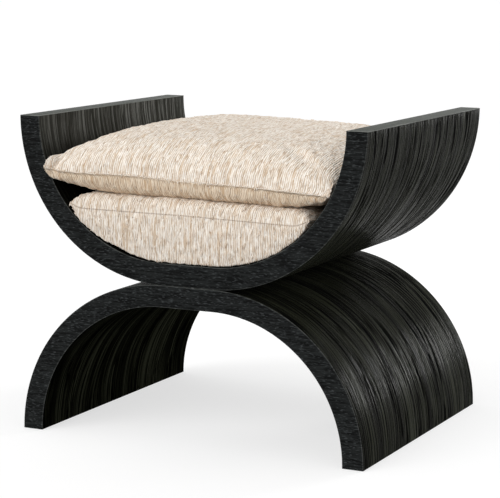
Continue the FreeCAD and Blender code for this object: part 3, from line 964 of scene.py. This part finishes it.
def sewn(name, cover, line, thread, body):
    """A row of stitches along a line on a cover, each lying on the cloth."""
    line = np.array(line)
    length = along_curve(line)
    places = []
    directions = []
    for middle in np.arange(STITCH_PITCH / 2, length[-1], STITCH_PITCH):
        here, ahead = (Vector([np.interp(run, length, line[:, axis]) for axis in range(3)])
                       for run in (middle, middle + STITCH_LENGTH))
        _, on_cloth, normal, _ = cover.closest_point_on_mesh(here)
        places.append(on_cloth + normal * (STITCH_RADIUS * STITCH_LIFT))
        directions.append(ahead - here if (ahead - here).length > SHORTEST_STEP else Vector((1, 0, 0)))
    count = len(places)
    stitches = beads(name, places, directions, [STITCH_LENGTH] * count, [STITCH_RADIUS] * count)
    fitted(stitches, thread, body, "cream_cloth")


def add_slubs(name, cover, body, count, seed):
    """Thick places in the yarn at chance corners of the cover."""
    chance = np.random.default_rng(seed)
    mesh = cover.data
    chosen = chance.choice(len(mesh.vertices), count, replace=False)
    lengths = chance.uniform(SLUB_SHORTEST, SLUB_LONGEST, count)
    radii = chance.uniform(SLUB_THINNEST, SLUB_THICKEST, count)
    places = []
    directions = []
    for corner, radius in zip(chosen, radii):
        vertex = mesh.vertices[int(corner)]
        along = vertex.normal.cross(Vector((1, 0, 0)))
        along = along if along.length > LEAST_SLOPE else Vector((0, 1, 0))
        places.append(vertex.co - vertex.normal * (radius * SLUB_SINK))
        directions.append(along.normalized() + Vector(chance.uniform(-SLUB_TWIST, SLUB_TWIST, 3)))
    slubs = beads(name, places, directions, lengths, radii)
    fitted(slubs, slub_yarn, body, "cream_cloth")


stitch_thread = yarn_finish("stitching_thread", tint(150, 124, 98), tint(104, 82, 62))
slub_yarn = yarn_finish("slub_yarn", tint(246, 238, 228), tint(214, 192, 168))
sewn("lower_cushion_stitching", lower_cushion, lower_seam, stitch_thread, "lower_cushion")
add_slubs("lower_cushion_slubs", lower_cushion, "lower_cushion", count=2200, seed=29)


# The zip in the lower cushion's rear panel: two woven tapes, a plastic coil, a metal slider and its pull.
# The cover comes off through it.
TOOTH_PITCH = 0.0016
TOOTH_RADIUS = 0.00062
TOOTH_REACH = 0.62


def woven_tape():
    """Narrow tape in a fine herringbone."""
    finish = Finish("zip_tape_weave")
    threads = finish.grain(finish.solid_place(), (500, 500, 1900))
    colour = finish.blend(finish.between(threads, 0.35, 0.65), tint(196, 178, 156), tint(228, 214, 196))
    finish.relief(threads, depth=0.0002)
    return finish.done(colour, roughness=0.9, gloss=0.08)


def coil_plastic():
    """Smooth cream plastic, a little yellower in places."""
    finish = Finish("zip_coil_plastic")
    clouds = finish.grain(finish.solid_place(), (90, 90, 90))
    colour = finish.blend(clouds, tint(206, 188, 162), tint(226, 212, 192))
    return finish.done(colour, roughness=0.4, gloss=0.3)


def zip_finished(cushion, body):
    """Dresses one zip: tapes and metal keep their shape, and the coil becomes two rows of meshing teeth."""
    refinished(f"{cushion}_zip_tapes", tape_finish)
    for part in ("slider", "pull"):
        broken_edges(refinished(f"{cushion}_zip_{part}", zip_metal), width=0.00025)
    low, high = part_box(f"{cushion}_zip_coil")
    reach = (high.z - low.z) * TOOTH_REACH
    middle = (low + high) / 2
    places = []
    for number, x in enumerate(np.arange(low.x + TOOTH_PITCH, high.x - TOOTH_PITCH, TOOTH_PITCH / 2)):
        side = 1 if number % 2 else -1
        places.append((x, middle.y, middle.z + side * (high.z - low.z - reach) / 2))
    count = len(places)
    upward = [(0, 0, 1)] * count
    teeth = beads(f"{cushion}_zip_teeth", places, upward, [reach] * count, [TOOTH_RADIUS] * count)
    fitted(teeth, coil_finish, body, "zip_coil", f"{cushion}_zip_coil")


tape_finish = woven_tape()
coil_finish = coil_plastic()
zip_metal = plated_steel("zip_nickel", tint(190, 186, 178), tint(140, 136, 128), roughness=0.3)
zip_finished("lower", "lower_cushion")


# The top cushion: a loose feather-filled pillow of the same cloth, made of two panels sewn edge to edge.
# It swells to a crown, its front seam sags to the right, and its left front corner stands up as an ear.
# The seam is stitched through just inside the edge, so a thin lip stands out all the way round.
PILLOW_LEFT = -0.252
PILLOW_RIGHT = 0.2475
PILLOW_FRONT = -0.2545
PILLOW_REAR = 0.2440
PILLOW_CROWN = 0.5010
PILLOW_UNDERSIDE = 0.4062
PILLOW_STEPS = 58
PROFILE_STEPS = 600
UPPER_SQUARENESS = (3.3, 5.0, 2.7, 5.0)
LOWER_SQUARENESS = (3.6, 3.4, 6.0, 5.0)
CROWN_TILT = 0.0095
EDGE_DRAW_IN = 0.005
RIGHT_SWELL = 0.009
RIGHT_SWELL_HEIGHT = 0.014
CORNER_ROUNDING = 0.006
REAR_CORNER_ROUNDING = 0.008
CORNER_SLANT = 0.7
LIP = 0.0020
LIP_THICKNESS = 0.0020
LIP_CREASE = 0.3
SEAM_HEIGHT = 0.4335
SEAM_HUMP = 0.006
SEAM_SAG = 0.007
# Starts the pillow's distance off the seam this far out, so its painted seam shade is fainter and its
# drawn-in groove shallower.
PILLOW_SEAM_SHIFT = 0.0010
EAR_RISE = 0.012
EAR_REACH = 0.013
EAR_BLUNTNESS = 0.005
EAR_SWELL = 0.007
EAR_OVER_UNDER = 3
EAR_CREASE = 0.014
UNDERSIDE_SAG = 0.002
FOLD_TOP = (-0.2375, -0.2450, 0.4635)
FOLD_FOOT = (-0.2425, -0.2615, 0.4460)
FOLD_WIDTH = 0.0050
FOLD_DEPTH = 0.0065

# Places on the pillow in shares of its half width and half depth, from -1 at the left or front to 1,
# and how fast a shape fades away from its place.
HUMP_PLACE = -0.45
HUMP_WIDTH = 0.35
SAG_START = 0.35
SAG_RUN = 0.6
SAG_CURVE = 1.5
EDGE_FADE = 3
CORNER_FADE = 10
TIP_FADE = 45
EAR_PLACE = (-0.975, -0.970)
EAR_SPREAD = 0.0016
CREASE_PLACE = (-0.895, -0.93)
CREASE_SPREAD = 0.0015
UNDERSIDE_SAG_PLACE = -0.94
UNDERSIDE_SAG_WIDTH = 0.06
RIGHT_SWELL_START = 0.7


def half_profile(squareness, run, rise, shares):
    """Half a swollen section: how far out and how high the cloth is at each share of its length."""
    angle = np.linspace(0, math.pi / 2, PROFILE_STEPS)
    out = np.sin(angle) ** (2 / squareness)
    up = np.cos(angle) ** (2 / squareness)
    length = along_curve(np.column_stack([out * run, up * rise]))
    return np.interp(shares * length[-1], length, out), np.interp(shares * length[-1], length, up)


def pillow_section(low_squareness, high_squareness, run, rise):
    """A whole section from lip to lip, rounder or squarer on each side."""
    shares = np.linspace(0, 1, PILLOW_STEPS // 2 + 1)
    low_out, low_up = half_profile(low_squareness, run, rise, shares)
    high_out, high_up = half_profile(high_squareness, run, rise, shares)
    lip = 1 + LIP / run
    out = np.concatenate([[-lip], -low_out[::-1], high_out[1:], [lip]])
    return out, np.concatenate([[0], low_up[::-1], high_up[1:], [0]])


def seam_line(u, v):
    """The height of the seam: up on the left, sagging to the right, level at the back."""
    front = SEAM_HUMP * np.exp(-((u - HUMP_PLACE) / HUMP_WIDTH) ** 2)
    front = front - SEAM_SAG * np.clip((u - SAG_START) / SAG_RUN, 0, 1) ** SAG_CURVE
    return SEAM_HEIGHT + front * (1 - np.clip(v, -1, 1)) / 2


def toward_corner(u, v, side, end, fade):
    """One in a corner of the pillow, fading away from it."""
    return (np.clip(1 + side * u, 0, 2) / 2 * np.clip(1 + end * v, 0, 2) / 2) ** fade


def spot(u, v, place, spread):
    """One at a place on the pillow, fading away all round."""
    return np.exp(-((u - place[0]) ** 2 + (v - place[1]) ** 2) / spread)


def pillow_sheet(squareness, high):
    """One panel of the pillow with its lip, as a grid of places."""
    left, right, front, rear = squareness
    half_width = (PILLOW_RIGHT - PILLOW_LEFT) / 2
    half_depth = (PILLOW_REAR - PILLOW_FRONT) / 2
    rise = abs(high - SEAM_HEIGHT)
    u, across_height = pillow_section(left, right, half_width, rise)
    v, back_height = pillow_section(front, rear, half_depth, rise)
    u, v = np.meshgrid(u, v)
    seam = seam_line(u, v)
    x = (PILLOW_LEFT + PILLOW_RIGHT) / 2 + half_width * u
    y = (PILLOW_FRONT + PILLOW_REAR) / 2 + half_depth * v
    x = x - EDGE_DRAW_IN * u * np.abs(u) ** EDGE_FADE * (1 - v ** 2)
    y = y - EDGE_DRAW_IN * np.minimum(v, 0) * np.abs(v) ** EDGE_FADE * (1 - u ** 2)
    swell = np.outer(back_height, across_height)
    z = seam + (high - seam) * swell
    z[1:-1, 1:-1] += LIP_THICKNESS / 2 * np.sign(high - SEAM_HEIGHT)
    for side, end, pull, lift in (
            (-1, -1, -EAR_REACH, EAR_RISE), (1, -1, CORNER_ROUNDING, 0.0),
            (-1, 1, REAR_CORNER_ROUNDING, 0.0), (1, 1, REAR_CORNER_ROUNDING, 0.0)):
        corner = toward_corner(u, v, side, end, CORNER_FADE)
        x = x - side * pull * corner
        y = y - end * pull * corner * CORNER_SLANT
        z = z + lift * corner
    tip = toward_corner(u, v, -1, -1, TIP_FADE)
    x = x + EAR_BLUNTNESS * tip
    y = y + EAR_BLUNTNESS / 2 * tip
    ear = EAR_SWELL * spot(u, v, EAR_PLACE, EAR_SPREAD)
    if high > SEAM_HEIGHT:
        z = z - CROWN_TILT * u * swell
        level_off = (z - seam - RIGHT_SWELL_HEIGHT) / RIGHT_SWELL_HEIGHT
        to_right = np.clip((u - RIGHT_SWELL_START) / (1 - RIGHT_SWELL_START), 0, 1)
        x = x + RIGHT_SWELL * np.exp(-level_off ** 2) * to_right
        change = ear - EAR_CREASE * spot(u, v, CREASE_PLACE, CREASE_SPREAD)
    else:
        sag = UNDERSIDE_SAG * np.exp(-((v - UNDERSIDE_SAG_PLACE) / UNDERSIDE_SAG_WIDTH) ** 2)
        change = -(ear / EAR_OVER_UNDER + sag + RIGHT_SLOPE * np.clip(u, 0, 1) * swell)
    z[1:-1, 1:-1] += change[1:-1, 1:-1]
    return np.stack([x, y, z], axis=-1)


def pillow_cover():
    """Both panels sewn together along their edges, with the corners the seam holds and its front line."""
    upper = pillow_sheet(UPPER_SQUARENESS, PILLOW_CROWN)
    lower = pillow_sheet(LOWER_SQUARENESS, PILLOW_UNDERSIDE)
    points = np.concatenate([upper.reshape(-1, 3), lower[1:-1, 1:-1].reshape(-1, 3)])
    last = PILLOW_STEPS + 2
    row, column = np.indices((last + 1, last + 1))
    off_edge = np.minimum(np.minimum(row, last - row), np.minimum(column, last - column))
    off_seam = CLOTH_STEP * np.abs(off_edge - 1) + PILLOW_SEAM_SHIFT
    top_number = row * (last + 1) + column
    low_number = top_number.copy()
    low_number[1:-1, 1:-1] = np.arange(top_number.size, len(points)).reshape(last - 1, last - 1)
    weave = np.zeros((len(points), 3))
    for number in (top_number, low_number):
        weave[number] = np.stack([column * CLOTH_STEP, row * CLOTH_STEP, off_seam], axis=-1)
    faces = []
    for front in range(last):
        for left in range(last):
            ring = ((front, left), (front, left + 1), (front + 1, left + 1), (front + 1, left))
            faces.append([int(top_number[place]) for place in ring])
            faces.append([int(low_number[place]) for place in reversed(ring)])
    piece = soft_piece("top_cushion", points.tolist(), faces, weave)
    piece.data.polygons.foreach_set("material_index", [0, 1] * (len(faces) // 2))
    rim = set(top_number[off_edge == 0])
    creases = [LIP_CREASE if set(edge.vertices) <= rim else 0.0 for edge in piece.data.edges]
    piece.data.attributes.new("crease_edge", "FLOAT", "EDGE").data.foreach_set("value", creases)
    held = np.unique([top_number[off_edge <= 1], low_number[off_edge <= 1]])
    return piece, held, points[top_number[1, 1:-1]]


def fold_ear(mesh):
    """Presses a short fold into the cloth beside the left front corner, so that the corner stands up."""
    places = at_corners(mesh, "co")
    run = np.array(FOLD_FOOT) - np.array(FOLD_TOP)
    share = np.clip((places - FOLD_TOP) @ run / (run @ run), 0, 1)
    apart = np.linalg.norm(places - FOLD_TOP - share[:, None] * run, axis=1)
    depth = FOLD_DEPTH * np.exp(-(apart / FOLD_WIDTH) ** 2)
    move_corners(mesh, places - at_corners(mesh, "normal") * depth[:, None])


# Painted shade: the pillow's lower panel is the same cloth, multiplied warmer and darker for the shade under
# the pillow.
underside_shade_cloth = slub_cloth("slub_cloth_painted_shade", tint(252, 241, 225))
top_cushion, top_held, top_seam = pillow_cover()
plump(top_cushion, top_held, pressure=4.0, most=0.005)
woven(top_cushion, seed=23)
fold_ear(top_cushion.data)
top_nodes = [f"top_cushion_{part}" for part in ("filling", "upper_cover", "lower_cover")]
fitted(top_cushion, cream_cloth, "top_cushion", "cream_cloth", *top_nodes)
top_cushion.data.materials.append(underside_shade_cloth)
sewn("top_cushion_stitching", top_cushion, top_seam, slub_yarn, "top_cushion")
add_slubs("top_cushion_slubs", top_cushion, "top_cushion", count=2600, seed=31)


# The zip in the pillow's rear seam: tapes, coil, slider and pull of the same kind as in the lower cushion.
# It is longer, and lies between the two panels.
zip_finished("top", "top_cushion")
